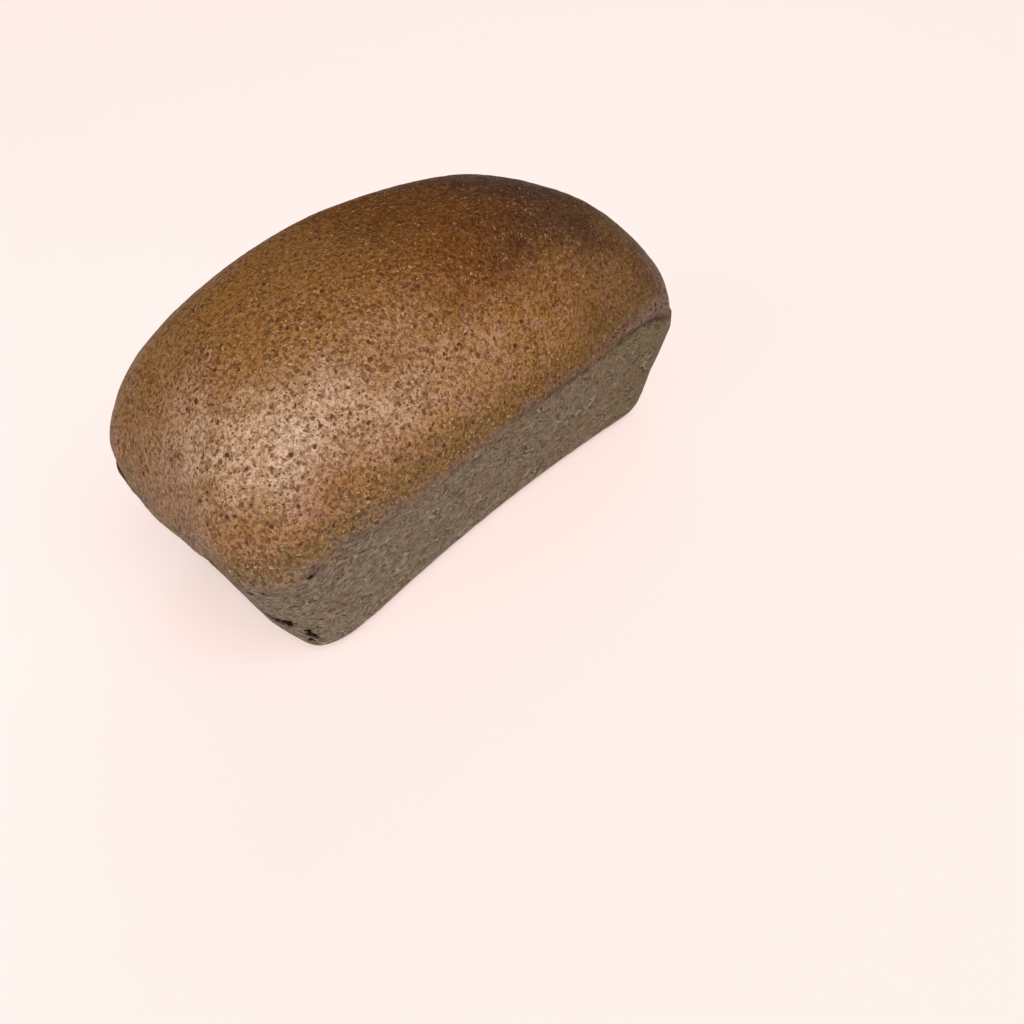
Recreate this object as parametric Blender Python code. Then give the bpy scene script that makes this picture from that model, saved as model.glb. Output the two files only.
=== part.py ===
"""Whole tin loaf of dark wholemeal bread, one solid, in metres with +Z up.

The loaf stands on its flat base. X runs along it, Y across it. The lower half keeps the flared form of
the baking tin, and the upper half is the crown that rose above the tin's rim. The origin is at the middle
of the base.
"""

import math

import bmesh
import bpy
from mathutils import Vector, noise

MM = 0.001

# Tin half of the loaf, in millimetres
BASE_LENGTH = 189.0
BASE_WIDTH = 100.0
FLARE_ENDS = 9.6
FLARE_SIDES = 5.3
RIM_HEIGHT = 49.9
RIM_RISE = 1.7
FAR_DROP = 7.0
FAR_BELLY = 3.3
CORNER_RADIUS_NEAR = 19.4
CORNER_RADIUS_FAR = 21.8
EDGE_RADIUS = 7.9
WAIST = 7.0
WAIST_PLACE = 0.1

# Lip where the crown spreads over the rim of the tin
LIP_HEIGHT = 2.4
LIP_SIDES = 0.4
LIP_NEAR_END = 1.2
LIP_FAR_END = 0.2
LIP_DROOP = 1.1
LIP_FADE = 4
CREASE_NEAR = 0.1
CREASE_FAR = 1.5
CREASE_CLOSED = 0.85

# Crown
LOAF_HEIGHT = 109.6
CROWN_SPREAD = 0.6
CROWN_CORNER = 6.0
LENGTH_POWER_NEAR = 3.07
LENGTH_POWER_FAR = 3.1
WIDTH_POWER = 3.64
HEIGHT_POWER = 1.56
OUTLINE_POWER = 2.1
CREST_ALONG = -2.0
CREST_ACROSS = 3.8
SHOULDER_ANGLE = math.radians(34.0)

# Unevenness: (height, wavelength) of each layer of swellings
SWELLINGS = ((0.9, 62.0), (0.35, 24.0), (0.18, 11.0))
SWELLING_SEED = Vector((12.1, 69.3, 21.9))
STILL_HEIGHT = 3.0
FULL_HEIGHT = 16.0

# Low lumps and hollows: (x, y, z, reach, height), before the loaf is centred
LUMPS = (
    (-106.0, 2.0, 51.0, 17.0, 0.9),
    (-105.6, -30.8, 51.0, 12.0, -0.8),
    (78.8, -21.0, 91.5, 24.0, 1.1),
    (91.3, -51.6, 37.0, 20.0, 1.4),
    (-96.3, -36.0, 11.0, 14.0, -2.0),
    (-91.4, -42.8, 6.3, 8.0, 0.5),
    (-104.5, 36.0, 49.0, 15.0, -1.7),
    (98.5, -45.5, 55.0, 16.0, 1.0),
    (103.0, -46.0, 46.5, 7.0, -1.1),
    (-80.0, -46.5, 6.0, 15.0, -0.8),
)

# Torn pits: (x, y, z, reach, depth), on the near end and the corner beside it
PITS = ((-98.1, -41.0, 23.0, 3.4, 2.2), (-92.3, -45.4, 13.2, 2.8, 1.9))
PIT_INSET = 0.9

# Mesh cells
CELLS_ALONG = 56
CELLS_ACROSS = 30
EDGE_ROWS = 4
WALL_ROWS = 8
LIP_ROWS = 3
SHOULDER_ROWS = 8
SIDE_ROWS = EDGE_ROWS + WALL_ROWS + LIP_ROWS + SHOULDER_ROWS


def smoothstep(low, high, value):
    t = min(max((value - low) / (high - low), 0.0), 1.0)
    return t * t * (3.0 - 2.0 * t)


def mix(a, b, amount):
    return a + (b - a) * amount


def rounded_ring(px, py, half_length, half_width, radius, ovalness):
    """Point of a rounded rectangle, turned by ovalness 0 to 1 into an oval.

    (px, py) is on the edge of the square that reaches from -1 to 1.
    """
    x = half_length * px
    y = half_width * py
    core_x = min(max(x, radius - half_length), half_length - radius)
    core_y = min(max(y, radius - half_width), half_width - radius)
    out_x = x - core_x
    out_y = y - core_y
    if abs(out_x) > 1e-9 and abs(out_y) > 1e-9:
        shrink = radius / math.hypot(out_x, out_y)
        out_x *= shrink
        out_y *= shrink
    oval = (abs(px) ** OUTLINE_POWER + abs(py) ** OUTLINE_POWER) ** (-1.0 / OUTLINE_POWER)
    return (
        mix(core_x + out_x, x * oval, ovalness),
        mix(core_y + out_y, y * oval, ovalness),
    )


def far_drop(px):
    """The rim dips round the corners of the far end."""
    return FAR_DROP * smoothstep(0.75, 1.0, px)


def rim_height(px):
    """The crown starts a little higher towards the far end."""
    return RIM_HEIGHT + RIM_RISE * px - far_drop(px)


def corner_radius(px):
    return mix(CORNER_RADIUS_NEAR, CORNER_RADIUS_FAR, smoothstep(-1.0, 1.0, px))


def wall_point(px, py, height, inset, up):
    """Point of the tin half; up runs from 0 at the base to 1 at the rim."""
    belly = FAR_BELLY * smoothstep(0.0, 1.0, px) * smoothstep(0.2, 0.95, up)
    half_length = BASE_LENGTH / 2 + FLARE_ENDS * up + belly - inset
    half_width = BASE_WIDTH / 2 + FLARE_SIDES * up - inset
    x, y = rounded_ring(px, py, half_length, half_width, corner_radius(px) - inset, 0.0)
    along = 2 * x / BASE_LENGTH - WAIST_PLACE
    waist = WAIST * (1 - up) * max(1 - along * along, 0.0)
    return Vector((x, y * (1 - 2 * waist / BASE_WIDTH), height))


def lip_out(px, py):
    """How far the crown overhangs the tin half, least at the near right corner."""
    droop = LIP_DROOP * smoothstep(0.4, 0.0, math.hypot((px + 1) / 1.2, (py + 1) / 1.6))
    end = LIP_NEAR_END if px < 0 else LIP_FAR_END
    return mix(LIP_SIDES, end, abs(px) ** 6) - droop


def crease_depth(px, py):
    """The fold under the lip deepens along the two sides and nearly closes at the far corners."""
    closed = CREASE_CLOSED * smoothstep(0.8, 1.0, px)
    return mix(CREASE_NEAR, CREASE_FAR, smoothstep(-0.6, 0.9, px)) * (1 - closed) * py * py


def crown_point(px, py, angle):
    """Point of the crown; angle runs from 0 at the lip to a right angle at the crest."""
    spread = CROWN_SPREAD + lip_out(px, py) * (1 - math.sin(angle)) ** LIP_FADE
    half_length = BASE_LENGTH / 2 + FLARE_ENDS + FAR_BELLY * smoothstep(0.0, 1.0, px) + spread
    half_width = BASE_WIDTH / 2 + FLARE_SIDES + spread
    length_power = mix(LENGTH_POWER_NEAR, LENGTH_POWER_FAR, smoothstep(-1.0, 1.0, px))
    half_length *= math.cos(angle) ** (2 / length_power)
    half_width *= math.cos(angle) ** (2 / WIDTH_POWER)
    risen = math.sin(angle) ** (2 / HEIGHT_POWER)
    radius = min(corner_radius(px) + CROWN_CORNER, 0.98 * half_width)
    ovalness = smoothstep(0.0, 0.8, 1 - math.cos(angle))
    x, y = rounded_ring(px, py, half_length, half_width, radius, ovalness)
    height = mix(RIM_HEIGHT + RIM_RISE * px + LIP_HEIGHT, LOAF_HEIGHT, risen)
    height -= far_drop(px) * (1 - risen) ** 4
    return Vector((x + CREST_ALONG * risen, y + CREST_ACROSS * risen, height))


def side_point(px, py, row):
    """Point of one of the rows between the base and the shoulder of the crown."""
    if row <= EDGE_ROWS:
        turn = math.pi / 2 * row / EDGE_ROWS
        height = EDGE_RADIUS * (1 - math.cos(turn))
        inset = EDGE_RADIUS * (1 - math.sin(turn))
        return wall_point(px, py, height, inset, height / RIM_HEIGHT)
    row -= EDGE_ROWS
    rim = rim_height(px)
    if row <= WALL_ROWS:
        height = mix(EDGE_RADIUS, rim, row / WALL_ROWS)
        up = height / rim
        return wall_point(px, py, height, crease_depth(px, py) * smoothstep(0.86, 1.0, up), up)
    row -= WALL_ROWS
    if row < LIP_ROWS:
        turn = math.pi / 2 * row / LIP_ROWS
        height = rim + LIP_HEIGHT * (1 - math.cos(turn))
        point = wall_point(px, py, height, crease_depth(px, py) * math.cos(turn), 1.0)
        return point.lerp(crown_point(px, py, 0.0), math.sin(turn))
    row -= LIP_ROWS
    return crown_point(px, py, SHOULDER_ANGLE * row / SHOULDER_ROWS)


def loaf_point(cube_point):
    """Place on the loaf, in millimetres, of a point of the cube that reaches from -1 to 1."""
    reach = max(abs(cube_point.x), abs(cube_point.y))
    px = cube_point.x / reach if reach else 0.0
    py = cube_point.y / reach if reach else 0.0
    if cube_point.z > 0.9999:
        return crown_point(px, py, mix(math.pi / 2, SHOULDER_ANGLE, reach))
    if cube_point.z < -0.9999:
        foot = side_point(px, py, 0)
        return Vector((foot.x * reach, foot.y * reach, 0.0))
    return side_point(px, py, round((cube_point.z + 1) / 2 * SIDE_ROWS))


def unevenness(point):
    """Height of the swellings and lumps of the crust at a point; the swellings fade out towards the base."""
    total = 0.0
    for height, wavelength in SWELLINGS:
        total += height * noise.noise(point / wavelength + SWELLING_SEED)
    total *= smoothstep(STILL_HEIGHT, FULL_HEIGHT, point.z)
    for x, y, z, reach, height in LUMPS:
        total += height * smoothstep(reach, 0.0, (point - Vector((x, y, z))).length)
    return total * smoothstep(0.0, 1.0, point.z)


def grid_cube(bm):
    """Cube of cells, finer along the loaf than across it."""
    bmesh.ops.create_cube(bm, size=2.0)
    for axis, cells in enumerate((CELLS_ALONG, CELLS_ACROSS, SIDE_ROWS)):
        edges = [e for e in bm.edges if abs(e.verts[0].co[axis] - e.verts[1].co[axis]) > 1e-6]
        bmesh.ops.subdivide_edges(bm, edges=edges, cuts=cells - 1, use_grid_fill=True)


def press_pits(bm):
    """Each pit is the cells within its reach, drawn in and pushed into the loaf."""
    for x, y, z, reach, depth in PITS:
        place = Vector((x, y, z))
        faces = [f for f in bm.faces if (f.calc_center_median() - place).length < reach]
        bmesh.ops.inset_region(bm, faces=faces, thickness=PIT_INSET, depth=-depth)


def flatten_base(bm):
    """The base is one flat face."""
    flat = [f for f in bm.faces if max(v.co.z for v in f.verts) < 1e-6]
    bmesh.ops.dissolve_faces(bm, faces=flat, use_verts=True)


def centre_on_base(bm):
    xs = [v.co.x for v in bm.verts]
    ys = [v.co.y for v in bm.verts]
    middle = Vector(((min(xs) + max(xs)) / 2, (min(ys) + max(ys)) / 2, 0.0))
    bmesh.ops.translate(bm, verts=bm.verts, vec=-middle)


def loaf_mesh():
    bm = bmesh.new()
    grid_cube(bm)
    for vert in bm.verts:
        vert.co = loaf_point(vert.co)
    bmesh.ops.recalc_face_normals(bm, faces=bm.faces)
    bm.normal_update()
    for vert, move in [(v, v.normal * unevenness(v.co)) for v in bm.verts]:
        vert.co += move
    flatten_base(bm)
    centre_on_base(bm)
    press_pits(bm)
    bmesh.ops.scale(bm, vec=(MM, MM, MM), verts=bm.verts)
    mesh = bpy.data.meshes.new("loaf")
    bm.to_mesh(mesh)
    bm.free()
    return mesh


def crust_material():
    material = bpy.data.materials.new("crust")
    material.use_nodes = True
    shader = material.node_tree.nodes["Principled BSDF"]
    shader.inputs["Base Color"].default_value = (0.25, 0.13, 0.06, 1.0)
    shader.inputs["Roughness"].default_value = 0.6
    shader.inputs["Metallic"].default_value = 0.0
    return material


def clear_scene():
    for obj in list(bpy.data.objects):
        bpy.data.objects.remove(obj, do_unlink=True)


def build():
    clear_scene()
    collection = bpy.data.collections.new("tin_loaf")
    bpy.context.scene.collection.children.link(collection)
    mesh = loaf_mesh()
    mesh.shade_smooth()
    mesh.materials.append(crust_material())
    collection.objects.link(bpy.data.objects.new("loaf", mesh))


build()
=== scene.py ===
import math
import random

import bmesh
import bpy
from mathutils import Matrix, Vector, kdtree, noise


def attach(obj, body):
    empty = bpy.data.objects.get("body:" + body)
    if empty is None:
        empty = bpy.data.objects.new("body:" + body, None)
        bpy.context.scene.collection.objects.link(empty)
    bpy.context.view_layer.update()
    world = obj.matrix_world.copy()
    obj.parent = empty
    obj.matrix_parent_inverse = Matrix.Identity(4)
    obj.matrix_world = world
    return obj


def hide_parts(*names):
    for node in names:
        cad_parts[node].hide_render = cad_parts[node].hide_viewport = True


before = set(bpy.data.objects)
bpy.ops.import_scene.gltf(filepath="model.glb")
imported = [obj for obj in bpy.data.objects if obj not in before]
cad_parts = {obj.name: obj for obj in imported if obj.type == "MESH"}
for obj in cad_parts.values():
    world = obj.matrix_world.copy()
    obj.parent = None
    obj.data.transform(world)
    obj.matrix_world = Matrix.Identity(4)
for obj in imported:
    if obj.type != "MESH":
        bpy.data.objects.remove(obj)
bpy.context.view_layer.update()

MM = 0.001

# Form of the loaf, in millimetres: the same named sizes as its solid
BASE_LENGTH = 189.0
BASE_WIDTH = 100.0
FLARE_ENDS = 9.6
FLARE_SIDES = 5.3
RIM_HEIGHT = 49.9
RIM_RISE = 1.7
FAR_DROP = 7.0
FAR_BELLY = 3.3
CORNER_RADIUS_NEAR = 19.4
CORNER_RADIUS_FAR = 21.8
EDGE_RADIUS = 7.9
WAIST = 7.0
WAIST_PLACE = 0.1
LIP_HEIGHT = 2.4
LIP_SIDES = 0.4
LIP_NEAR_END = 1.2
LIP_FAR_END = 0.2
LIP_DROOP = 1.1
LIP_FADE = 4
CREASE_NEAR = 0.1
CREASE_FAR = 1.5
CREASE_CLOSED = 0.85
LOAF_HEIGHT = 109.6
CROWN_SPREAD = 0.6
CROWN_CORNER = 6.0
LENGTH_POWER_NEAR = 3.07
LENGTH_POWER_FAR = 3.1
WIDTH_POWER = 3.64
HEIGHT_POWER = 1.56
OUTLINE_POWER = 2.1
CREST_ALONG = -2.0
CREST_ACROSS = 3.8
SHOULDER_ANGLE = math.radians(34.0)
SWELLINGS = ((0.9, 62.0), (0.35, 24.0), (0.18, 11.0))
SWELLING_SEED = Vector((12.1, 69.3, 21.9))
STILL_HEIGHT = 3.0
FULL_HEIGHT = 16.0

# Low lumps and hollows: (x, y, z, reach, height), before the loaf is centred
LUMPS = (
    (-106.0, 2.0, 51.0, 17.0, 0.9),
    (-105.6, -30.8, 51.0, 12.0, -0.8),
    (78.8, -21.0, 91.5, 24.0, 1.1),
    (91.3, -51.6, 37.0, 20.0, 1.4),
    (-96.3, -36.0, 11.0, 14.0, -2.0),
    (-91.4, -42.8, 6.3, 8.0, 0.5),
    (-104.5, 36.0, 49.0, 15.0, -1.7),
    (98.5, -45.5, 55.0, 16.0, 1.0),
    (103.0, -46.0, 46.5, 7.0, -1.1),
    (-80.0, -46.5, 6.0, 15.0, -0.8),
)

# Cells of the fine mesh, about 1.1 mm each
CELLS_ALONG = 184
CELLS_ACROSS = 98
EDGE_ROWS = 12
WALL_ROWS = 34
LIP_ROWS = 5
SHOULDER_ROWS = 27
SIDE_ROWS = EDGE_ROWS + WALL_ROWS + LIP_ROWS + SHOULDER_ROWS

# Ripples of the crown: (height, wavelengths along X, Y and Z)
RIPPLES = ((0.10, 34.0, 9.0, 6.5), (0.07, 16.0, 5.0, 4.5))

# Grain of the whole crust: (height, wavelength)
GRAIN = ((0.09, 4.2), (0.08, 2.6))

# Wander of the fold under the lip: (height, wavelength), and how far above and below it reaches
RIM_WANDER = ((2.3, 12.0), (1.2, 4.5))
RIM_WANDER_REACH = 9.0

# Small bump below the fold and hollow above it, at the far right corner: (x, y, z, reach, height)
FINE_LUMPS = (
    (97.6, -50.6, 40.0, 7.0, 0.6),
    (98.0, -51.0, 47.2, 3.5, -0.5),
)

# Pores: how many, the seed of their draws, and their radii and depths
PORES = 140
PORE_SEED = 41
PORE_RADIUS = (1.2, 2.0)
PORE_DEPTH = (0.15, 0.45)

# Torn pits: place, half sizes along X, Y and Z, and depth, once the loaf is centred
TORN_PITS = (
    ((-97.9, -40.4, 23.2), (2.6, 3.0, 2.9), 2.4),
    ((-98.4, -40.2, 25.0), (1.0, 0.9, 1.1), 0.8),
    ((-95.4, -40.4, 17.4), (1.2, 1.1, 1.3), 0.8),
    ((-92.1, -45.3, 13.8), (1.1, 1.2, 3.2), 1.6),
    ((-92.2, -43.6, 9.2), (1.2, 1.1, 0.9), 0.8),
    ((-94.0, -42.4, 14.4), (1.0, 1.4, 0.7), 0.7),
    ((-87.6, -55.0, 45.8), (1.1, 1.1, 0.6), 0.7),
    ((-102.9, -42.2, 42.3), (1.0, 1.1, 0.7), 0.6),
)
PIT_REACH = 6.0
PIT_RAGGEDNESS = 1.1
PIT_RAG_WAVELENGTH = 1.8

# Where a pit's hollow and its dark skin start and are full, as parts of its half sizes
PIT_HOLLOW = (1.15, 0.35)
PIT_DARK_SKIN = (1.8, 0.55)

# Camera, in metres: the view of the photograph, found from the outline of the loaf
VIEW_AZIMUTH = math.radians(49.82)
VIEW_ELEVATION = math.radians(43.96)
VIEW_ROLL = math.radians(-7.84)
VIEW_DISTANCE = 0.3021
VIEW_TARGET = Vector((-0.0008, 0.0, 0.040))
TARGET_PIXEL = (416.1, 392.3)
FOCAL_PIXELS = 760.0
IMAGE_PIXELS = 1024.0
SENSOR_MM = 36.0
CLIP_START = 0.01

# Suns: where each comes from, how wide and how strong it is
KEY_DIRECTION = Vector((-0.36, -0.66, 0.66))
KEY_SPREAD = math.radians(30.0)
KEY_STRENGTH = 3.0
FILL_DIRECTION = Vector((0.15, -0.62, 0.77))
FILL_SPREAD = math.radians(50.0)
FILL_STRENGTH = 0.8
BACK_DIRECTION = Vector((0.72, 0.66, 0.20))
BACK_SPREAD = math.radians(60.0)
BACK_STRENGTH = 0.8
SUN_COLOUR = (1.0, 0.98, 0.96)

# Small light beside the near end, in metres and watts
SIDE_PLACE = Vector((-0.74, 0.10, 0.47))
SIDE_SIZE = 0.50
SIDE_WATTS = 0.6

# Surroundings: their bright side, their colour, and their strengths from the dark side to the bright one
WORLD_FRONT = Vector((-0.55, -0.62, 0.56))
WORLD_COLOUR = (1.0, 0.97, 0.955, 1.0)
WORLD_STRENGTHS = (0.05, 0.28)
WORLD_SHADE_FROM = -0.6

# Floor: size in metres, and width of its clouds of colour in millimetres
FLOOR_COLOURS = ((0.985, 0.850, 0.820), (0.960, 0.805, 0.775))
FLOOR_SIZE = 8.0
FLOOR_CLOUDS = 900.0
FLOOR_ROUGHNESS = 0.85
FLOOR_GLOSS = 0.2

# Colours of the crust above the rim
SIDE_BROWN = (0.205, 0.092, 0.023)
SIDE_OCHRE = (0.185, 0.090, 0.015)
# Far end darker from deeper browning and from painted shade
FAR_END_BROWN_AND_SHADE = (0.060, 0.026, 0.006)
ROSY = (0.230, 0.116, 0.062)
# Pale patch on the near shoulders: partly a paler crust, partly a painted highlight
BLOOM_AND_HIGHLIGHT = (0.380, 0.242, 0.156)
BLOOM_AND_HIGHLIGHT_NEAR = (0.430, 0.280, 0.188)
BAND = (0.104, 0.056, 0.006)
CREST_NEAR = (0.210, 0.092, 0.020)
CREST_MIDDLE = (0.130, 0.044, 0.004)
# Dark far crest: deeper browning and painted shade
CREST_FAR_BROWN_AND_SHADE = (0.039, 0.016, 0.009)
SPECK_RED = (0.122, 0.045, 0.018)
SPECK_BLACK = (0.056, 0.019, 0.008)
FLECK = (0.400, 0.255, 0.120)

# Colours of the tin half
WALL_DARK = (0.090, 0.066, 0.039)
WALL_PALE = (0.242, 0.191, 0.132)
WALL_BROWN = (0.162, 0.116, 0.070)
# Painted highlight on the ridges and painted shadow in the slits beside them
WALL_RIDGE_HIGHLIGHT = (0.310, 0.253, 0.178)
WALL_SLIT_SHADOW = (0.052, 0.036, 0.022)
# Painted shade towards the far end of the tin half
WALL_FAR_SHADE = (0.128, 0.098, 0.052)
STRIP_DARK = (0.058, 0.032, 0.024)
STRIP_PALE = (0.150, 0.096, 0.072)
# Painted shade in the fold under the lip
FOLD_SHADE = (0.032, 0.018, 0.012)
PIT_RIM_DARK = (0.036, 0.022, 0.015)
PIT_BLACK = (0.011, 0.007, 0.005)

# Tints of the grain, laid over the colours: (its dark parts, its pale parts)
CROWN_GRAIN_TINTS = ((0.60, 0.52, 0.40), (1.30, 1.32, 1.35))
CROWN_FINE_TINTS = ((0.76, 0.72, 0.66), (1.24, 1.26, 1.30))
WALL_GRAIN_TINTS = ((0.86, 0.84, 0.82), (1.12, 1.12, 1.12))
WALL_FINE_TINTS = ((0.90, 0.89, 0.88), (1.09, 1.09, 1.09))

# Spots, one in each cell: size of the cells, then least and most radius and soft edge as parts of a cell
BRAN = ((2.2, 2.2, 2.2), 0.04, 0.38, 0.18)
DOTS = ((1.15, 1.15, 1.15), -0.04, 0.44, 0.24)
LARGE_SPECKS = ((9.0, 9.0, 9.0), -0.16, 0.145, 0.04)
SLITS = ((2.2, 2.2, 0.9), -0.14, 0.38, 0.18)
FLECKS = ((1.35, 1.35, 1.1), 0.0, 0.38, 0.14)
CROWDING = 0.4

# Places of the rim and of the painted shade in the fold under the lip, in millimetres
RIM_HALF_LENGTH = 104.0
FAR_DROP_RUN = (77.0, 103.0)
FOLD_ABOVE = 0.8
FOLD_RAGGEDNESS = 7.0
FOLD_REACH = (3.6, 0.2)

# Bumps that are finer than the mesh: strength, and height in millimetres
BUMP_STRENGTH = 0.85
BUMP_HEIGHT = 0.6

# Colour sockets of Blender's Mix node
MIX_FIRST = 6
MIX_SECOND = 7
MIX_RESULT = 2


def smoothstep(low, high, value):
    t = min(max((value - low) / (high - low), 0.0), 1.0)
    return t * t * (3.0 - 2.0 * t)


def mix(a, b, amount):
    return a + (b - a) * amount


def rounded_ring(px, py, half_length, half_width, radius, ovalness):
    """Point of a rounded rectangle, turned by ovalness 0 to 1 into an oval."""
    x = half_length * px
    y = half_width * py
    core_x = min(max(x, radius - half_length), half_length - radius)
    core_y = min(max(y, radius - half_width), half_width - radius)
    out_x = x - core_x
    out_y = y - core_y
    if abs(out_x) > 1e-9 and abs(out_y) > 1e-9:
        shrink = radius / math.hypot(out_x, out_y)
        out_x *= shrink
        out_y *= shrink
    oval = (abs(px) ** OUTLINE_POWER + abs(py) ** OUTLINE_POWER) ** (-1.0 / OUTLINE_POWER)
    return (
        mix(core_x + out_x, x * oval, ovalness),
        mix(core_y + out_y, y * oval, ovalness),
    )


def far_drop(px):
    """The rim dips round the corners of the far end."""
    return FAR_DROP * smoothstep(0.75, 1.0, px)


def rim_height(px):
    """The crown starts a little higher towards the far end."""
    return RIM_HEIGHT + RIM_RISE * px - far_drop(px)


def corner_radius(px):
    return mix(CORNER_RADIUS_NEAR, CORNER_RADIUS_FAR, smoothstep(-1.0, 1.0, px))


def wall_point(px, py, height, inset, up):
    """Point of the tin half; up runs from 0 at the base to 1 at the rim."""
    belly = FAR_BELLY * smoothstep(0.0, 1.0, px) * smoothstep(0.2, 0.95, up)
    half_length = BASE_LENGTH / 2 + FLARE_ENDS * up + belly - inset
    half_width = BASE_WIDTH / 2 + FLARE_SIDES * up - inset
    x, y = rounded_ring(px, py, half_length, half_width, corner_radius(px) - inset, 0.0)
    along = 2 * x / BASE_LENGTH - WAIST_PLACE
    waist = WAIST * (1 - up) * max(1 - along * along, 0.0)
    return Vector((x, y * (1 - 2 * waist / BASE_WIDTH), height))


def lip_out(px, py):
    """How far the crown overhangs the tin half, least at the near right corner."""
    droop = LIP_DROOP * smoothstep(0.4, 0.0, math.hypot((px + 1) / 1.2, (py + 1) / 1.6))
    end = LIP_NEAR_END if px < 0 else LIP_FAR_END
    return mix(LIP_SIDES, end, abs(px) ** 6) - droop


def crease_depth(px, py):
    """The fold under the lip deepens along the two sides and nearly closes at the far corners."""
    closed = CREASE_CLOSED * smoothstep(0.8, 1.0, px)
    return mix(CREASE_NEAR, CREASE_FAR, smoothstep(-0.6, 0.9, px)) * (1 - closed) * py * py


def crown_point(px, py, angle):
    """Point of the crown; angle runs from 0 at the lip to a right angle at the crest."""
    spread = CROWN_SPREAD + lip_out(px, py) * (1 - math.sin(angle)) ** LIP_FADE
    half_length = BASE_LENGTH / 2 + FLARE_ENDS + FAR_BELLY * smoothstep(0.0, 1.0, px) + spread
    half_width = BASE_WIDTH / 2 + FLARE_SIDES + spread
    length_power = mix(LENGTH_POWER_NEAR, LENGTH_POWER_FAR, smoothstep(-1.0, 1.0, px))
    half_length *= math.cos(angle) ** (2 / length_power)
    half_width *= math.cos(angle) ** (2 / WIDTH_POWER)
    risen = math.sin(angle) ** (2 / HEIGHT_POWER)
    radius = min(corner_radius(px) + CROWN_CORNER, 0.98 * half_width)
    ovalness = smoothstep(0.0, 0.8, 1 - math.cos(angle))
    x, y = rounded_ring(px, py, half_length, half_width, radius, ovalness)
    height = mix(RIM_HEIGHT + RIM_RISE * px + LIP_HEIGHT, LOAF_HEIGHT, risen)
    height -= far_drop(px) * (1 - risen) ** 4
    return Vector((x + CREST_ALONG * risen, y + CREST_ACROSS * risen, height))


def side_point(px, py, row):
    """Point of one of the rows between the base and the shoulder of the crown."""
    if row <= EDGE_ROWS:
        turn = math.pi / 2 * row / EDGE_ROWS
        height = EDGE_RADIUS * (1 - math.cos(turn))
        inset = EDGE_RADIUS * (1 - math.sin(turn))
        return wall_point(px, py, height, inset, height / RIM_HEIGHT)
    row -= EDGE_ROWS
    rim = rim_height(px)
    if row <= WALL_ROWS:
        height = mix(EDGE_RADIUS, rim, row / WALL_ROWS)
        up = height / rim
        return wall_point(px, py, height, crease_depth(px, py) * smoothstep(0.86, 1.0, up), up)
    row -= WALL_ROWS
    if row < LIP_ROWS:
        turn = math.pi / 2 * row / LIP_ROWS
        height = rim + LIP_HEIGHT * (1 - math.cos(turn))
        point = wall_point(px, py, height, crease_depth(px, py) * math.cos(turn), 1.0)
        return point.lerp(crown_point(px, py, 0.0), math.sin(turn))
    row -= LIP_ROWS
    return crown_point(px, py, SHOULDER_ANGLE * row / SHOULDER_ROWS)


def loaf_point(cube_point):
    """Place on the loaf, in millimetres, of a point of the cube that reaches from -1 to 1."""
    reach = max(abs(cube_point.x), abs(cube_point.y))
    px = cube_point.x / reach if reach else 0.0
    py = cube_point.y / reach if reach else 0.0
    if cube_point.z > 0.9999:
        return crown_point(px, py, mix(math.pi / 2, SHOULDER_ANGLE, reach))
    if cube_point.z < -0.9999:
        foot = side_point(px, py, 0)
        return Vector((foot.x * reach, foot.y * reach, 0.0))
    return side_point(px, py, round((cube_point.z + 1) / 2 * SIDE_ROWS))


def above_rim(point):
    """Height over the rim of the tin, in millimetres."""
    half_length = BASE_LENGTH / 2 + FLARE_ENDS
    return point.z - rim_height(min(max(point.x / half_length, -1.0), 1.0))


def unevenness(point):
    """Height of the swellings and lumps of the crust; the swellings fade out towards the base."""
    total = 0.0
    for height, wavelength in SWELLINGS:
        total += height * noise.noise(point / wavelength + SWELLING_SEED)
    total *= smoothstep(STILL_HEIGHT, FULL_HEIGHT, point.z)
    for x, y, z, reach, height in LUMPS:
        total += height * smoothstep(reach, 0.0, (point - Vector((x, y, z))).length)
    return total * smoothstep(0.0, 1.0, point.z)


def fine_relief(point):
    """Height of the ripples and grain of the crust."""
    crown = smoothstep(-2.0, 6.0, above_rim(point))
    total = 0.0
    for height, along, across, up in RIPPLES:
        place = Vector((point.x / along, point.y / across, point.z / up))
        total += height * crown * noise.noise(place + SWELLING_SEED)
    for height, wavelength in GRAIN:
        total += height * noise.noise(point / wavelength - SWELLING_SEED)
    for x, y, z, reach, height in FINE_LUMPS:
        total += height * smoothstep(reach, 0.0, (point - Vector((x, y, z))).length)
    return total * smoothstep(0.0, 2.0, point.z)


def rim_shift(point):
    """How far the fold under the lip wanders up or down, most towards the far end."""
    rise = 0.0
    for height, wavelength in RIM_WANDER:
        rise += height * noise.noise(Vector((point.x, point.y, 0.0)) / wavelength + SWELLING_SEED)
    near_rim = smoothstep(RIM_WANDER_REACH, 0.0, abs(above_rim(point) - 1.0))
    return rise * near_rim * smoothstep(-60.0, 50.0, point.x)


def grid_cube(bm):
    """Cube of cells, finer along the loaf than across it."""
    bmesh.ops.create_cube(bm, size=2.0)
    for axis, cells in enumerate((CELLS_ALONG, CELLS_ACROSS, SIDE_ROWS)):
        edges = [e for e in bm.edges if abs(e.verts[0].co[axis] - e.verts[1].co[axis]) > 1e-6]
        bmesh.ops.subdivide_edges(bm, edges=edges, cuts=cells - 1, use_grid_fill=True)


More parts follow.
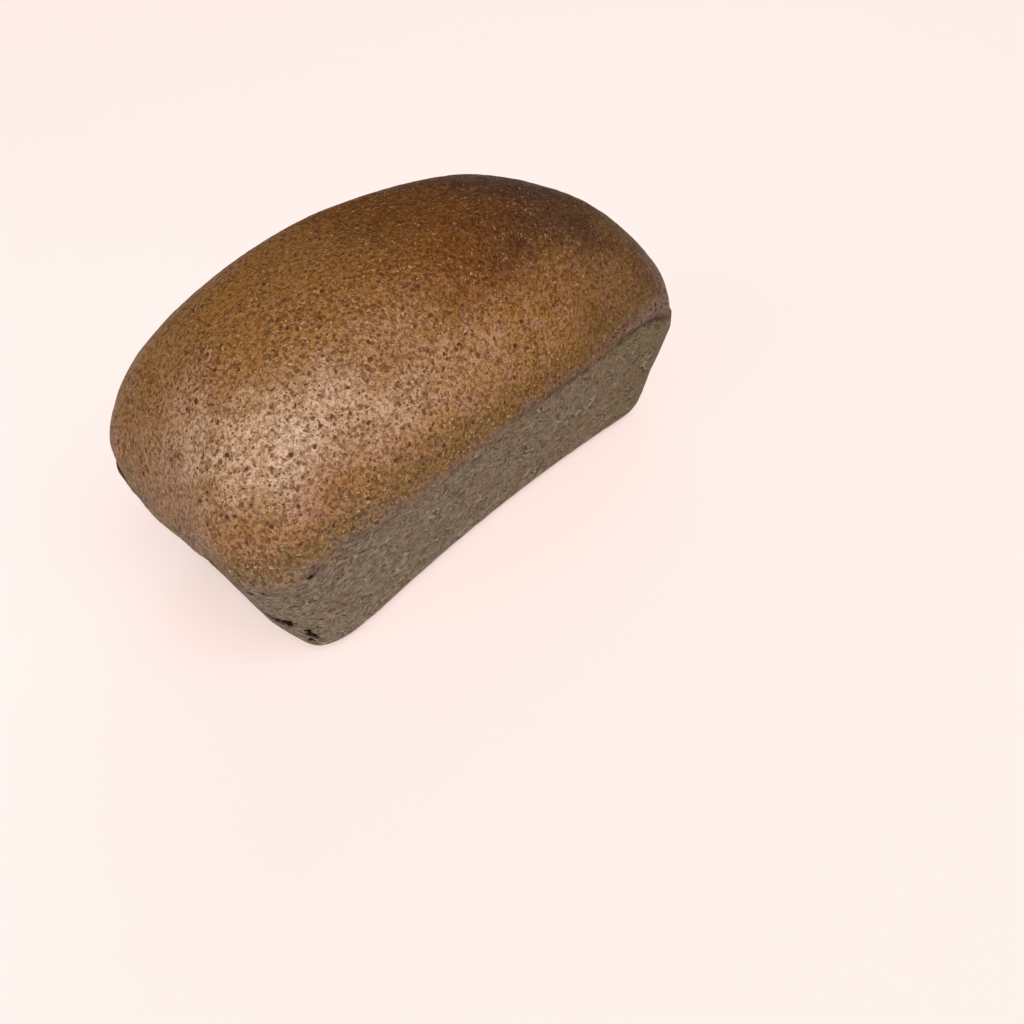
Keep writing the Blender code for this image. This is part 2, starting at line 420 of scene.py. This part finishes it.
def press_pores(bm, tree, layer):
    """Small round hollows left by burst bubbles and bran, with a dark centre."""
    chance = random.Random(PORE_SEED)
    verts = list(bm.verts)
    for _ in range(PORES):
        centre = chance.choice(verts)
        radius = mix(*PORE_RADIUS, chance.random() ** 2)
        depth = mix(*PORE_DEPTH, chance.random() ** 2)
        if centre.co.z < STILL_HEIGHT:
            continue
        inward = -centre.normal
        for _, index, distance in tree.find_range(centre.co, radius):
            hollow = (1 - (distance / radius) ** 2) ** 2
            vert = verts[index]
            vert.co = vert.co + inward * depth * hollow
            vert[layer] = max(vert[layer], hollow)


def press_torn_pits(bm, tree, layer):
    """Dark hollows where the skin tore at the near end and the corner beside it."""
    verts = list(bm.verts)
    for place, half_sizes, depth in TORN_PITS:
        centre = Vector(place)
        _, index, _ = tree.find(centre)
        inward = -verts[index].normal
        for _, index, _ in tree.find_range(verts[index].co, PIT_REACH):
            vert = verts[index]
            away = vert.co - centre
            ragged = 1 + PIT_RAGGEDNESS * noise.noise(vert.co / PIT_RAG_WAVELENGTH)
            reach = math.hypot(*(away[i] / half_sizes[i] for i in range(3))) * ragged
            vert.co = vert.co + inward * depth * smoothstep(*PIT_HOLLOW, reach)
            vert[layer] = max(vert[layer], smoothstep(*PIT_DARK_SKIN, reach))


def centre_on_base(bm):
    xs = [v.co.x for v in bm.verts]
    ys = [v.co.y for v in bm.verts]
    middle = Vector(((min(xs) + max(xs)) / 2, (min(ys) + max(ys)) / 2, 0.0))
    bmesh.ops.translate(bm, verts=bm.verts, vec=-middle)


def shape_loaf(bm, layer):
    """Turn the cube into the loaf with its relief; the layer keeps how far the fold wanders."""
    for vert in bm.verts:
        vert.co = loaf_point(vert.co)
    bmesh.ops.recalc_face_normals(bm, faces=bm.faces)
    bm.normal_update()
    shifts = [rim_shift(v.co) for v in bm.verts]
    moved = [v.co + v.normal * (unevenness(v.co) + fine_relief(v.co)) for v in bm.verts]
    for vert, place, shift in zip(bm.verts, moved, shifts):
        vert.co = place + Vector((0.0, 0.0, shift))
        vert[layer] = shift * MM
    centre_on_base(bm)
    bm.normal_update()


def search_tree(bm):
    """Tree of the vertices, for finding those near a place."""
    tree = kdtree.KDTree(len(bm.verts))
    for vert in bm.verts:
        tree.insert(vert.co, vert.index)
    tree.balance()
    return tree


def loaf_piece():
    bm = bmesh.new()
    grid_cube(bm)
    layers = {name: bm.verts.layers.float.new(name) for name in ("rim_shift", "pore", "char")}
    bm.verts.index_update()
    shape_loaf(bm, layers["rim_shift"])
    tree = search_tree(bm)
    press_pores(bm, tree, layers["pore"])
    press_torn_pits(bm, tree, layers["char"])
    bmesh.ops.scale(bm, vec=(MM, MM, MM), verts=bm.verts)
    mesh = bpy.data.meshes.new("loaf_crust")
    bm.to_mesh(mesh)
    bm.free()
    mesh.shade_smooth()
    piece = bpy.data.objects.new("loaf_crust", mesh)
    bpy.context.scene.collection.objects.link(piece)
    return piece


class Nodes:
    """Short ways to add the shader nodes of one material, with sizes and places in millimetres."""

    def __init__(self, name):
        self.material = bpy.data.materials.new(name)
        self.material.use_nodes = True
        self.tree = self.material.node_tree
        self.shader = self.tree.nodes["Principled BSDF"]
        self.place = self.tree.nodes.new("ShaderNodeTexCoord").outputs["Object"]
        self.x, self.y, self.z = self.add("SeparateXYZ", {0: self.place}).outputs

    def put(self, socket, value):
        if isinstance(value, bpy.types.NodeSocket):
            self.tree.links.new(value, socket)
        else:
            socket.default_value = value

    def add(self, kind, values=None, **settings):
        node = self.tree.nodes.new("ShaderNode" + kind)
        for name, value in settings.items():
            setattr(node, name, value)
        for name, value in (values or {}).items():
            self.put(node.inputs[name], value)
        return node

    def math(self, operation, first, second=0.0, third=0.0):
        node = self.add("Math", {0: first, 1: second, 2: third}, operation=operation)
        return node.outputs[0]

    def times(self, first, second):
        return self.math("MULTIPLY", first, second)

    def minus(self, first, second):
        return self.math("SUBTRACT", first, second)

    def weighed(self, value, weight, base):
        """A base with a weighed value added."""
        return self.math("MULTIPLY_ADD", value, weight, base)

    def range(self, value, low, high, to_low=0.0, to_high=1.0, kind="SMOOTHSTEP"):
        values = {"Value": value, "From Min": low, "From Max": high, "To Min": to_low, "To Max": to_high}
        return self.add("MapRange", values, interpolation_type=kind).outputs[0]

    def between(self, value, start, end, at_start=0.0, at_end=1.0, kind="SMOOTHSTEP"):
        """Number that changes between two places on an axis."""
        return self.range(value, start * MM, end * MM, at_start, at_end, kind)

    def along(self, start, end, at_start=0.0, at_end=1.0):
        """Number that changes smoothly between two places along the loaf."""
        return self.between(self.x, start, end, at_start, at_end)

    def swayed(self, axis, clouds, reach):
        """Axis with its places pushed to and fro by clouds."""
        return self.weighed(clouds, reach * MM, axis)

    def scaled(self, sizes, offset, place=None):
        """Coordinates in cells of the given sizes."""
        scale = [1.0 / (size * MM) for size in sizes]
        node = self.add("Mapping", {"Vector": place or self.place, "Scale": scale, "Location": offset})
        return node.outputs["Vector"]

    def noise(self, sizes, detail=2.0, roughness=0.5, distortion=0.0, offset=(0.0, 0.0, 0.0)):
        values = {"Vector": self.scaled(sizes, offset), "Scale": 1.0, "Detail": detail}
        values.update({"Roughness": roughness, "Distortion": distortion})
        return self.add("TexNoise", values).outputs["Fac"]

    def swing(self, sizes, **settings):
        """Noise to both sides of nought."""
        return self.minus(self.noise(sizes, **settings), 0.5)

    def line(self, noise, level, wide, thin):
        """Thin line where a noise passes a level."""
        return self.range(self.math("ABSOLUTE", self.minus(noise, level)), wide, thin)

    def warped(self, amount, size, offset=(0.0, 0.0, 0.0)):
        """Coordinates pushed about, so that spots aren't round."""
        vector = self.scaled((size,) * 3, offset)
        cloud = self.add("TexNoise", {"Vector": vector, "Scale": 1.0, "Detail": 1.0}).outputs["Color"]
        shift = self.add("VectorMath", {0: cloud, 1: (0.5, 0.5, 0.5)}, operation="SUBTRACT").outputs[0]
        push = self.add("VectorMath", {0: shift, "Scale": amount * 2 * MM}, operation="SCALE").outputs[0]
        return self.add("VectorMath", {0: self.place, 1: push}, operation="ADD").outputs[0]

    def spots(self, kind, place, crowded, offset=(0.0, 0.0, 0.0)):
        """Spots of random radius, one in each cell, and a random number for each spot."""
        sizes, least, most, soft_edge = kind
        cells = self.add("TexVoronoi", {"Vector": self.scaled(sizes, offset, place), "Scale": 1.0})
        draws = self.add("SeparateColor", {0: cells.outputs["Color"]}).outputs
        radius = self.range(draws["Red"], 0.0, 1.0, least, most, "LINEAR")
        radius = self.weighed(crowded, CROWDING, radius)
        inner = self.minus(radius, soft_edge / 2)
        outer = self.math("ADD", radius, soft_edge / 2)
        return self.range(cells.outputs["Distance"], outer, inner), draws["Green"]

    def put_colour(self, socket, value):
        """Put a colour, which is a socket or (red, green, blue), on a socket."""
        self.put(socket, value if isinstance(value, bpy.types.NodeSocket) else (*value, 1.0))

    def blend(self, amount, first, second, how="MIX"):
        node = self.add("Mix", {"Factor": amount}, data_type="RGBA", blend_type=how)
        self.put_colour(node.inputs[MIX_FIRST], first)
        self.put_colour(node.inputs[MIX_SECOND], second)
        return node.outputs[MIX_RESULT]

    def attribute(self, name):
        return self.add("Attribute", attribute_name=name).outputs["Fac"]


def rim_zones(n):
    """Masks round the rim: the fold under the lip for its painted shade, the dark strip and where the
    browned crown begins.
    """
    half_length = RIM_HALF_LENGTH * MM
    inside = n.math("MINIMUM", n.math("MAXIMUM", n.x, -half_length), half_length)
    rim = n.weighed(inside, RIM_RISE / RIM_HALF_LENGTH, RIM_HEIGHT * MM)
    rim = n.minus(rim, n.along(*FAR_DROP_RUN, 0.0, FAR_DROP * MM))
    wander = n.swing((34.0, 34.0, 20.0), detail=2.0)
    ragged = n.swing((6.0, 6.0, 4.0), detail=4.0, roughness=0.7)
    above = n.minus(n.z, n.math("ADD", rim, n.attribute("rim_shift")))
    from_fold = n.swayed(n.minus(above, FOLD_ABOVE * MM), ragged, FOLD_RAGGEDNESS)
    near_fold = n.between(n.math("ABSOLUTE", from_fold), *FOLD_REACH)
    n.fold = n.times(near_fold, n.along(-10.0, 50.0, 0.0, 0.9))
    above = n.weighed(wander, n.along(-80.0, 30.0, 10.0 * MM, 3.0 * MM), above)
    above = n.weighed(ragged, n.along(-90.0, 0.0, 24.0 * MM, 10.0 * MM), above)
    n.above = n.math("ADD", above, n.along(-60.0, -95.0, 0.0, 3.5 * MM))
    softness = n.along(-90.0, 0.0, 7.0 * MM, 2.8 * MM)
    n.crown = n.range(n.math("DIVIDE", n.above, softness), -0.7, 1.3)
    from_strip = n.minus(n.above, n.along(-70.0, 90.0, -1.0 * MM, 3.5 * MM))
    strip_top = n.along(0.0, 80.0, 6.0 * MM, 11.5 * MM)
    n.strip = n.times(n.between(from_strip, -4.5, -0.5), n.range(from_strip, strip_top, 1.0 * MM))


def crown_zones(n):
    """Masks over the crown: its far end, its top, a pale patch that is partly paler crust and partly a
    painted highlight, and how much sheen it has.
    """
    height = n.between(n.above, 2.0, 58.0, 0.0, 1.0, "LINEAR")
    clouds = n.swing((30.0,) * 3, detail=3.0, roughness=0.55)
    n.far = n.between(n.swayed(n.x, clouds, 70.0), -100.0, 105.0, 0.0, 1.0, "LINEAR")
    n.high = n.range(n.weighed(clouds, 0.5, height), 0.50, 0.90)
    level = n.math("ADD", height, n.along(-75.0, -25.0, 0.0, 0.17))
    level = n.weighed(clouds, 0.3, level)
    top = n.minus(level, n.along(-30.0, -80.0, 0.0, 0.25))
    n.bloom = n.times(n.range(level, 0.30, 0.66), n.range(top, 0.90, 0.62))
    n.bloom = n.times(n.bloom, n.between(n.swayed(n.x, clouds, 60.0), 30.0, -96.0))
    n.bloom = n.times(n.bloom, n.between(n.swayed(n.y, clouds, 50.0), 20.0, -22.0))
    n.sheen = n.times(n.between(n.y, -20.0, 25.0, 1.0, 0.40), n.range(n.far, 0.15, 0.65, 1.0, 0.30))


def crust_textures(n):
    """Noises that several parts of the material share, from the widest to the finest."""
    n.mottle = n.noise((13.0, 13.0, 10.0), detail=4.0, roughness=0.62, distortion=0.5)
    n.rosy = n.noise((9.0, 9.0, 7.0), detail=3.0, roughness=0.6, distortion=0.6, offset=(4.0, 8.0, 1.0))
    n.crumb = n.noise((2.9, 2.9, 1.9), detail=4.0, roughness=0.62, distortion=1.5)
    n.grain = n.noise((1.4,) * 3, detail=2.0, roughness=0.6)
    n.fine = n.noise((0.62,) * 3, detail=2.0, roughness=0.6, offset=(7.0, 3.0, 1.0))


def shaded(n, colour, amount, tints, strength=1.0):
    """Colour with a fine grain; its dark parts are the more saturated."""
    return n.blend(strength, colour, n.blend(amount, *tints), "MULTIPLY")


def crown_colour(n):
    """Browned crust: ochre and rosy sides, a pale patch that is partly paler crust and partly a painted
    highlight, a band over the rim, and a far end darkened by deeper browning and painted shade.
    """
    colour = n.blend(n.range(n.mottle, 0.34, 0.56), SIDE_OCHRE, SIDE_BROWN)
    colour = n.blend(n.range(n.rosy, 0.44, 0.66, 0.0, 0.8), colour, ROSY)
    # Painted highlight: the pale patch on the near shoulders, palest at the near end, partly a paler
    # crust
    bloom = n.blend(n.along(-52.0, -86.0), BLOOM_AND_HIGHLIGHT, BLOOM_AND_HIGHLIGHT_NEAR)
    colour = n.blend(n.times(n.bloom, n.range(n.rosy, 0.30, 0.60, 0.72, 1.0)), colour, bloom)
    # Darker towards the far end: deeper browning and painted shade
    colour = n.blend(n.range(n.far, 0.50, 0.98, 0.0, 0.95), colour, FAR_END_BROWN_AND_SHADE)
    band = n.times(n.between(n.above, 0.0, 4.0), n.between(n.above, 20.0, 6.0))
    colour = n.blend(n.times(band, 0.8), colour, BAND)
    crest = n.blend(n.range(n.far, 0.25, 0.55), CREST_NEAR, CREST_MIDDLE)
    # Crest darker towards the far end: deeper browning and painted shade
    crest = n.blend(n.range(n.far, 0.50, 0.80), crest, CREST_FAR_BROWN_AND_SHADE)
    colour = n.blend(n.high, colour, crest)
    strength = n.range(n.far, 0.50, 0.95, 1.0, 0.75)
    colour = shaded(n, colour, n.range(n.grain, 0.34, 0.66), CROWN_GRAIN_TINTS, strength)
    return shaded(n, colour, n.range(n.fine, 0.34, 0.66), CROWN_FINE_TINTS, strength)


def wall_colour(n):
    """Pale torn crumb of the half that stood in the tin, with painted shade towards the far end and a
    painted highlight and shadow on its ridges.
    """
    blotch = n.noise((15.0, 15.0, 11.0), detail=3.0, roughness=0.55, offset=(3.0, 9.0, 2.0))
    wall = n.blend(n.range(n.crumb, 0.32, 0.68), WALL_DARK, WALL_PALE)
    wall = n.blend(n.range(blotch, 0.45, 0.72, 0.0, 0.6), wall, WALL_BROWN)
    # Painted shade towards the far end
    wall = n.blend(n.range(n.far, 0.55, 1.0, 0.0, 0.7), wall, WALL_FAR_SHADE)
    # Painted highlight along the ridges and painted shadow in the slits beside them
    wall = n.blend(n.times(n.ridge, 0.70), wall, WALL_RIDGE_HIGHLIGHT)
    wall = n.blend(n.times(n.groove, 0.70), wall, WALL_SLIT_SHADOW)
    wall = shaded(n, wall, n.range(n.grain, 0.32, 0.68), WALL_GRAIN_TINTS)
    return shaded(n, wall, n.range(n.fine, 0.34, 0.66), WALL_FINE_TINTS)


def bran_specks(n, crowded):
    """Dark specks and slits of bran, and the colour of each speck."""
    jagged = n.warped(0.75, 1.2)
    bran, bran_draw = n.spots(BRAN, jagged, crowded)
    dots, _ = n.spots(DOTS, jagged, crowded, (5.3, 1.7, 8.1))
    large, _ = n.spots(LARGE_SPECKS, n.warped(1.2, 2.4), crowded, (2.2, 6.4, 3.3))
    slits, _ = n.spots(SLITS, n.warped(1.1, 2.2, (4.0, 2.0, 7.0)), crowded)
    specks = n.times(dots, 0.85)
    specks = n.math("MAXIMUM", specks, n.times(bran, n.range(bran_draw, 0.0, 1.0, 0.6, 1.0)))
    specks = n.math("MAXIMUM", specks, n.times(large, 0.6))
    specks = n.times(specks, n.between(n.above, -4.0, 4.0, 0.30, 1.0))
    slits = n.times(n.times(slits, 0.8), n.between(n.above, 4.0, -2.0))
    n.dark = n.math("MAXIMUM", specks, slits)
    n.dark = n.math("MAXIMUM", n.dark, n.times(n.attribute("pore"), 0.4))
    n.speck = n.blend(bran_draw, SPECK_RED, SPECK_BLACK)


def bran_flakes(n, crowded):
    """Pale flakes of bran and pale threads of dough."""
    flecks, fleck_draw = n.spots(FLECKS, n.warped(1.2, 1.3), crowded, (9.1, 4.4, 6.6))
    flecks = n.times(flecks, n.range(fleck_draw, 0.0, 1.0, 0.25, 0.9))
    flecks = n.times(flecks, n.range(n.crown, 0.0, 1.0, 0.2, 1.0))
    n.flecks = n.times(flecks, n.range(n.far, 0.4, 0.9, 1.0, 0.5))
    curl = n.noise((2.4, 2.4, 2.0), detail=1.0, distortion=1.6, offset=(3.0, 6.0, 9.0))
    broken = n.noise((3.0,) * 3, detail=2.0, offset=(5.0, 5.0, 1.0))
    n.thread = n.times(n.line(curl, 0.5, 0.030, 0.008), n.range(broken, 0.50, 0.62))


def torn_pits(n):
    """Dark rim and near-black bottom of the torn pits."""
    crumbs = n.weighed(n.minus(n.grain, 0.5), 1.5, n.attribute("char"))
    n.scorch = n.range(crumbs, 0.12, 0.62)
    n.char = n.range(crumbs, 0.46, 0.78)


def wall_fibres(n):
    """Short wavy ridges of torn crumb, each with a dark slit along one side; their colours paint a
    highlight on the ridge and a shadow in the slit, and the bumps also raise and sink them.
    """
    waves = n.noise((7.0, 7.0, 4.6), detail=0.6, distortion=0.9, offset=(1.0, 2.0, 6.0))
    broken = n.range(n.noise((5.0,) * 3, detail=2.0, offset=(2.0, 8.0, 3.0)), 0.42, 0.56)
    broken = n.times(broken, n.minus(1.0, n.crown))
    n.ridge = n.times(n.line(waves, 0.500, 0.050, 0.014), broken)
    n.groove = n.times(n.line(waves, 0.570, 0.038, 0.010), broken)


def crust_colour(n):
    """Colours of the crown, the wall, the strip between them, the painted shade in the fold, and all
    their marks.
    """
    colour = n.blend(n.crown, wall_colour(n), crown_colour(n))
    strip = n.blend(n.range(n.crumb, 0.36, 0.60), STRIP_DARK, STRIP_PALE)
    patchy = n.math("MAXIMUM", n.range(n.rosy, 0.38, 0.60, 0.1, 0.8), n.along(20.0, 70.0, 0.0, 0.85))
    colour = n.blend(n.times(n.strip, patchy), colour, strip)
    # Painted shade: near-black colour in the fold under the lip, strongest towards the far end
    fold = n.times(n.fold, n.range(n.noise((5.0,) * 3, detail=2.0), 0.35, 0.60, 0.4, 1.0))
    colour = n.blend(fold, colour, FOLD_SHADE)
    colour = n.blend(n.times(n.thread, 0.45), colour, FLECK)
    colour = n.blend(n.flecks, colour, FLECK)
    colour = n.blend(n.dark, colour, n.speck)
    # Darker ring round each torn pit and near-black colour at its bottom
    colour = n.blend(n.scorch, colour, PIT_RIM_DARK)
    n.put(n.shader.inputs["Base Color"], n.blend(n.char, colour, PIT_BLACK))


def crust_gloss(n):
    """Roughness and gloss; bran and torn spots stay dull."""
    patches = n.noise((5.0,) * 3, detail=3.0, roughness=0.6, offset=(1.0, 5.0, 9.0))
    rough = n.range(patches, 0.3, 0.7, 0.42, 0.54, "LINEAR")
    rough = n.math("ADD", rough, n.range(n.crown, 1.0, 0.0, 0.0, 0.20))
    n.put(n.shader.inputs["Roughness"], n.weighed(n.dark, 0.2, rough))
    level = n.range(n.crown, 0.0, 1.0, 0.25, 0.46)
    level = n.times(level, n.range(n.grain, 0.35, 0.65, 0.6, 1.4, "LINEAR"))
    level = n.times(level, n.sheen)
    level = n.times(level, n.weighed(n.dark, -0.6, 1.0))
    level = n.times(level, n.minus(1.0, n.char))
    n.put(n.shader.inputs["Specular IOR Level"], level)


def crust_relief(n):
    """Bumps finer than the mesh: the skin of the crown and the torn crumb of the wall."""
    lumps = n.noise((3.6, 3.6, 2.6), detail=3.0, roughness=0.55, offset=(6.0, 6.0, 2.0))
    skin = n.weighed(n.grain, 0.35, n.times(n.dark, -0.35))
    torn = n.weighed(n.crumb, 2.6, n.times(n.dark, -0.9))
    for bump, height in ((lumps, 0.8), (n.flecks, 0.30), (n.thread, 0.25)):
        skin = n.weighed(bump, height, skin)
    for bump, height in ((n.thread, 0.7), (n.ridge, 1.3), (n.groove, -1.3), (n.grain, 0.5)):
        torn = n.weighed(bump, height, torn)
    relief = n.add("Mix", {"Factor": n.crown, "A": torn, "B": skin}).outputs["Result"]
    relief = n.minus(relief, n.char)
    bump = n.add("Bump", {"Strength": BUMP_STRENGTH, "Distance": BUMP_HEIGHT * MM, "Height": relief})
    n.put(n.shader.inputs["Normal"], bump.outputs[0])


def crust_material():
    n = Nodes("baked_crust")
    rim_zones(n)
    crown_zones(n)
    crust_textures(n)
    crowded = n.swing((14.0,) * 3, detail=3.0, roughness=0.6, offset=(8.0, 1.0, 5.0))
    bran_specks(n, crowded)
    bran_flakes(n, crowded)
    torn_pits(n)
    wall_fibres(n)
    crust_colour(n)
    crust_gloss(n)
    crust_relief(n)
    return n.material


def floor_piece():
    bpy.ops.mesh.primitive_plane_add(size=FLOOR_SIZE, location=(0.0, 0.0, 0.0))
    floor = bpy.context.object
    floor.name = "floor"
    n = Nodes("pale_floor")
    tone = n.noise((FLOOR_CLOUDS,) * 3)
    n.put(n.shader.inputs["Base Color"], n.blend(tone, *FLOOR_COLOURS))
    n.put(n.shader.inputs["Roughness"], FLOOR_ROUGHNESS)
    n.put(n.shader.inputs["Specular IOR Level"], FLOOR_GLOSS)
    floor.data.materials.append(n.material)
    return floor


def sun_light(name, direction, spread, strength, glossy=True):
    """Wide soft light; the one from behind adds no sheen of its own."""
    data = bpy.data.lights.new(name, "SUN")
    data.angle = spread
    data.energy = strength
    data.color = SUN_COLOUR
    light = bpy.data.objects.new(name, data)
    light.rotation_euler = direction.to_track_quat("Z", "Y").to_euler()
    light.visible_glossy = glossy
    bpy.context.scene.collection.objects.link(light)


def side_light():
    """Closer light beside the near end, which fades along the loaf."""
    data = bpy.data.lights.new("side", "AREA")
    data.shape = "DISK"
    data.size = SIDE_SIZE
    data.energy = SIDE_WATTS
    light = bpy.data.objects.new("side", data)
    light.location = SIDE_PLACE
    light.rotation_euler = (SIDE_PLACE - VIEW_TARGET).to_track_quat("Z", "Y").to_euler()
    bpy.context.scene.collection.objects.link(light)


def sky():
    """Soft surroundings, brighter towards the front than behind the loaf."""
    world = bpy.data.worlds.new("studio")
    world.use_nodes = True
    nodes = world.node_tree.nodes
    links = world.node_tree.links
    place = nodes.new("ShaderNodeTexCoord")
    front = nodes.new("ShaderNodeVectorMath")
    front.operation = "DOT_PRODUCT"
    front.inputs[1].default_value = WORLD_FRONT.normalized()
    strength = nodes.new("ShaderNodeMapRange")
    strength.inputs["From Min"].default_value = WORLD_SHADE_FROM
    strength.inputs["From Max"].default_value = 1.0
    strength.inputs["To Min"].default_value = WORLD_STRENGTHS[0]
    strength.inputs["To Max"].default_value = WORLD_STRENGTHS[1]
    background = nodes["Background"]
    background.inputs["Color"].default_value = WORLD_COLOUR
    links.new(place.outputs["Generated"], front.inputs[0])
    links.new(front.outputs["Value"], strength.inputs["Value"])
    links.new(strength.outputs["Result"], background.inputs["Strength"])
    bpy.context.scene.world = world


def camera():
    data = bpy.data.cameras.new("photo_view")
    data.sensor_width = SENSOR_MM
    data.lens = FOCAL_PIXELS / IMAGE_PIXELS * SENSOR_MM
    data.clip_start = CLIP_START
    forward = Vector((
        math.cos(VIEW_AZIMUTH) * math.cos(VIEW_ELEVATION),
        math.sin(VIEW_AZIMUTH) * math.cos(VIEW_ELEVATION),
        -math.sin(VIEW_ELEVATION),
    ))
    level_right = Vector((math.sin(VIEW_AZIMUTH), -math.cos(VIEW_AZIMUTH), 0.0))
    level_up = level_right.cross(forward)
    right = level_right * math.cos(VIEW_ROLL) + level_up * math.sin(VIEW_ROLL)
    up = level_up * math.cos(VIEW_ROLL) - level_right * math.sin(VIEW_ROLL)
    middle = IMAGE_PIXELS / 2
    aim = forward + right * (TARGET_PIXEL[0] - middle) / FOCAL_PIXELS
    aim -= up * (TARGET_PIXEL[1] - middle) / FOCAL_PIXELS
    turn = Matrix((right, up, -forward)).transposed()
    eye = bpy.data.objects.new("photo_view", data)
    eye.matrix_world = Matrix.Translation(VIEW_TARGET - aim * VIEW_DISTANCE) @ turn.to_4x4()
    bpy.context.scene.collection.objects.link(eye)
    bpy.context.scene.camera = eye


loaf = loaf_piece()
loaf.data.materials.append(crust_material())
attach(loaf, "root")
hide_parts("loaf")
floor_piece()
sun_light("key", KEY_DIRECTION, KEY_SPREAD, KEY_STRENGTH)
sun_light("fill", FILL_DIRECTION, FILL_SPREAD, FILL_STRENGTH)
sun_light("back", BACK_DIRECTION, BACK_SPREAD, BACK_STRENGTH, False)
side_light()
sky()
camera()
bpy.context.scene.view_settings.view_transform = "Standard"

bpy.context.view_layer.update()
